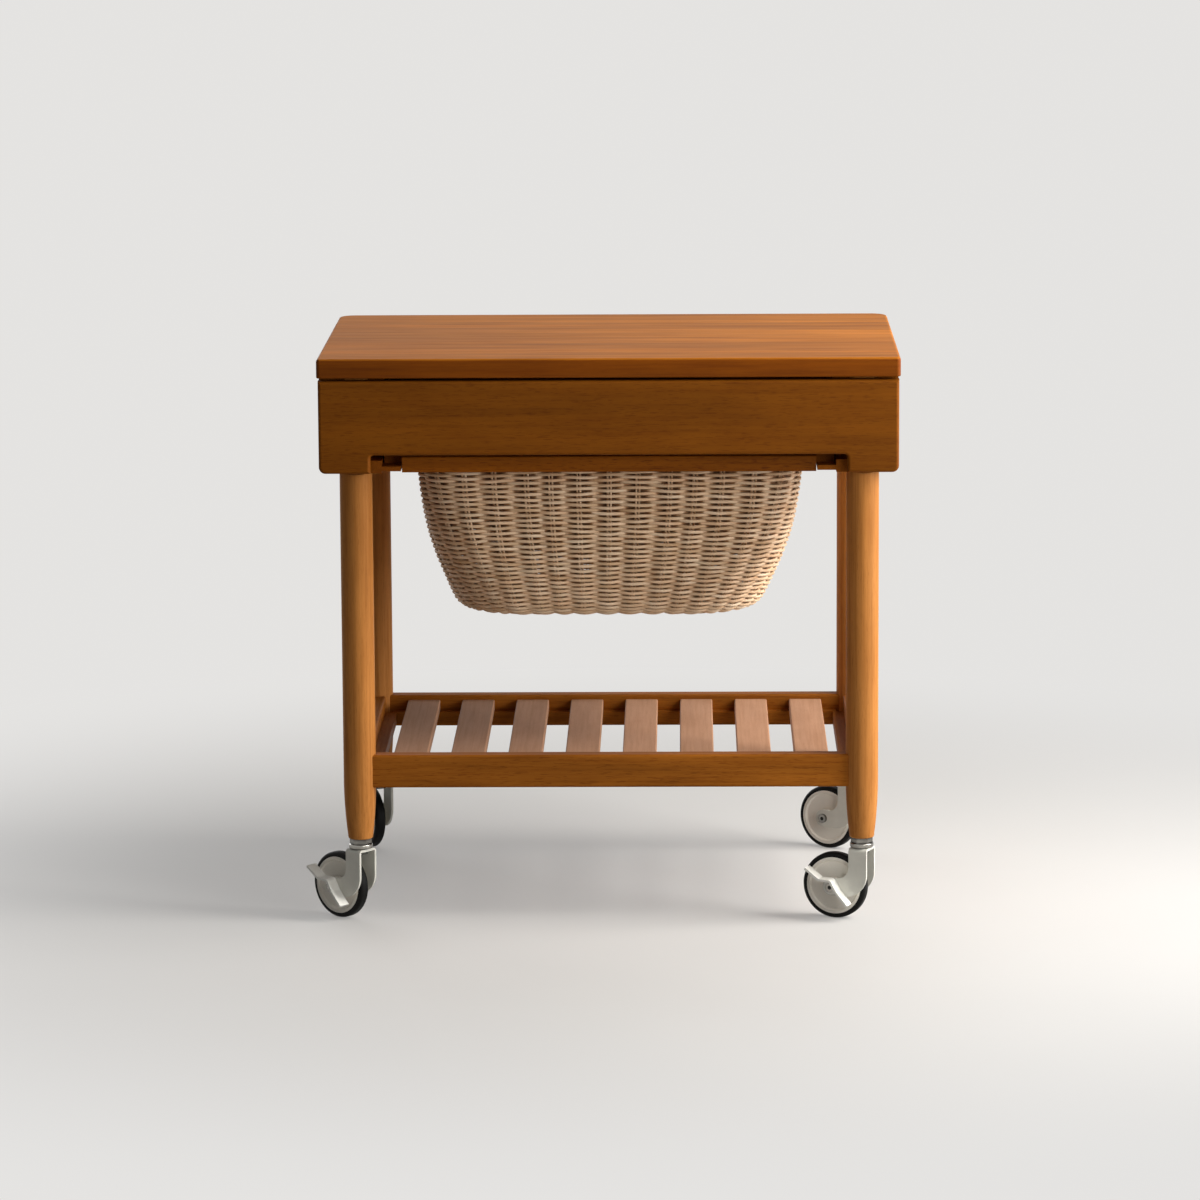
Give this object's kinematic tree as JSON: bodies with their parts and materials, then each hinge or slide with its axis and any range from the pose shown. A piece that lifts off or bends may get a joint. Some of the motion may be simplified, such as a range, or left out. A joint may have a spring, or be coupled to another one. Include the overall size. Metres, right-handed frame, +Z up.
{
  "type": "rolling storage cart",
  "caption": "Wooden side cart on casters with a wide drawer, a pull-out wicker basket on a tray frame and a slatted lower shelf.",
  "frame": {"origin": "on the floor, under the middle of the top board and midway between its front and back edges", "axes": "+X to the right along the top board, +Y to the back, +Z up; the drawer and the tray pull out towards -Y"},
  "size_m": [0.6207, 0.4251, 0.596],
  "materials": {
    "top_wood": "satin lacquered solid wood in glued staves",
    "case_wood": "satin lacquered",
    "leg_wood": "satin lacquered, turned",
    "slat_wood": "plain satin",
    "inner_wood": "planed, unstained",
    "panel_board": "plain board",
    "wicker": "woven split cane",
    "bright_metal": "zinc plated",
    "fork_metal": "grey painted",
    "lever_metal": "pale painted",
    "wheel_plastic": "grey moulded",
    "tyre_rubber": "matte"
  },
  "bodies": {
    "cart": {"top_panel": "top_wood", "case_side_left": "case_wood", "case_side_right": "case_wood", "case_back": "case_wood", "shelf_rail_front": "case_wood", "shelf_rail_rear": "case_wood", "shelf_rail_left": "case_wood", "shelf_rail_right": "case_wood", "leg_front_left": "leg_wood", "leg_front_right": "leg_wood", "leg_rear_left": "leg_wood", "leg_rear_right": "leg_wood", "basket_runner_left": "inner_wood", "basket_runner_right": "inner_wood", "drawer_runner_left": "inner_wood", "drawer_runner_right": "inner_wood", "drawer_kickers": "inner_wood", "slat_cleats": "inner_wood", "side_cleats": "inner_wood", "shelf_slat_1": "slat_wood", "shelf_slat_2": "slat_wood", "shelf_slat_3": "slat_wood", "shelf_slat_4": "slat_wood", "shelf_slat_5": "slat_wood", "shelf_slat_6": "slat_wood", "shelf_slat_7": "slat_wood", "shelf_slat_8": "slat_wood", "caster_stem_front_left": "bright_metal", "caster_stem_front_right": "bright_metal", "caster_stem_rear_left": "bright_metal", "caster_stem_rear_right": "bright_metal"},
    "drawer": {"drawer_front": "case_wood", "drawer_side_left": "inner_wood", "drawer_side_right": "inner_wood", "drawer_back": "inner_wood", "drawer_bottom": "panel_board"},
    "basket_tray": {"tray_rail_front": "inner_wood", "tray_rail_back": "inner_wood", "tray_side_left": "inner_wood", "tray_side_right": "inner_wood", "wicker_basket": "wicker"},
    "swivel_front_left": {"caster_fork_front_left": "fork_metal", "caster_axle_front_left": "bright_metal"},
    "wheel_front_left": {"wheel_core_front_left": "wheel_plastic", "wheel_tyre_front_left": "tyre_rubber"},
    "swivel_front_right": {"caster_fork_front_right": "fork_metal", "caster_axle_front_right": "bright_metal"},
    "wheel_front_right": {"wheel_core_front_right": "wheel_plastic", "wheel_tyre_front_right": "tyre_rubber"},
    "swivel_rear_left": {"caster_fork_rear_left": "fork_metal", "caster_axle_rear_left": "bright_metal"},
    "wheel_rear_left": {"wheel_core_rear_left": "wheel_plastic", "wheel_tyre_rear_left": "tyre_rubber"},
    "swivel_rear_right": {"caster_fork_rear_right": "fork_metal", "caster_axle_rear_right": "bright_metal"},
    "wheel_rear_right": {"wheel_core_rear_right": "wheel_plastic", "wheel_tyre_rear_right": "tyre_rubber"},
    "brake_front_left": {"brake_lever_front_left": "lever_metal"},
    "brake_front_right": {"brake_lever_front_right": "lever_metal"}
  },
  "joints": [
    {"name": "drawer_slide", "type": "slide", "parent": "cart", "child": "drawer", "axis": [0, -1, 0], "range_m": [0, 0.25]},
    {"name": "tray_slide", "type": "slide", "parent": "cart", "child": "basket_tray", "axis": [0, -1, 0], "range_m": [0, 0.25]},
    {"name": "swivel_front_left_turn", "type": "hinge", "parent": "cart", "child": "swivel_front_left", "pos_m": [-0.262, -0.1692, 0.0775], "axis": [0, 0, 1], "continuous": true},
    {"name": "wheel_front_left_spin", "type": "hinge", "parent": "swivel_front_left", "child": "wheel_front_left", "pos_m": [-0.28422, -0.15056, 0.035], "axis": [-0.6428, -0.766, 0], "continuous": true},
    {"name": "brake_front_left_press", "type": "hinge", "parent": "swivel_front_left", "child": "brake_front_left", "pos_m": [-0.28422, -0.15056, 0.035], "axis": [-0.6428, -0.766, 0], "range_deg": [0, 18]},
    {"name": "swivel_front_right_turn", "type": "hinge", "parent": "cart", "child": "swivel_front_right", "pos_m": [0.262, -0.1692, 0.0775], "axis": [0, 0, 1], "continuous": true},
    {"name": "wheel_front_right_spin", "type": "hinge", "parent": "swivel_front_right", "child": "wheel_front_right", "pos_m": [0.23531, -0.15787, 0.035], "axis": [-0.3907, -0.9205, 0], "continuous": true},
    {"name": "brake_front_right_press", "type": "hinge", "parent": "swivel_front_right", "child": "brake_front_right", "pos_m": [0.23531, -0.15787, 0.035], "axis": [-0.3907, -0.9205, 0], "range_deg": [0, 18]},
    {"name": "swivel_rear_left_turn", "type": "hinge", "parent": "cart", "child": "swivel_rear_left", "pos_m": [-0.262, 0.169, 0.0775], "axis": [0, 0, 1], "continuous": true},
    {"name": "wheel_rear_left_spin", "type": "hinge", "parent": "swivel_rear_left", "child": "wheel_rear_left", "pos_m": [-0.27561, 0.19461, 0.035], "axis": [-0.8829, -0.4695, 0], "continuous": true},
    {"name": "swivel_rear_right_turn", "type": "hinge", "parent": "cart", "child": "swivel_rear_right", "pos_m": [0.262, 0.169, 0.0775], "axis": [0, 0, 1], "continuous": true},
    {"name": "wheel_rear_right_spin", "type": "hinge", "parent": "swivel_rear_right", "child": "wheel_rear_right", "pos_m": [0.23768, 0.18479, 0.035], "axis": [-0.5446, -0.8387, 0], "continuous": true}
  ]
}
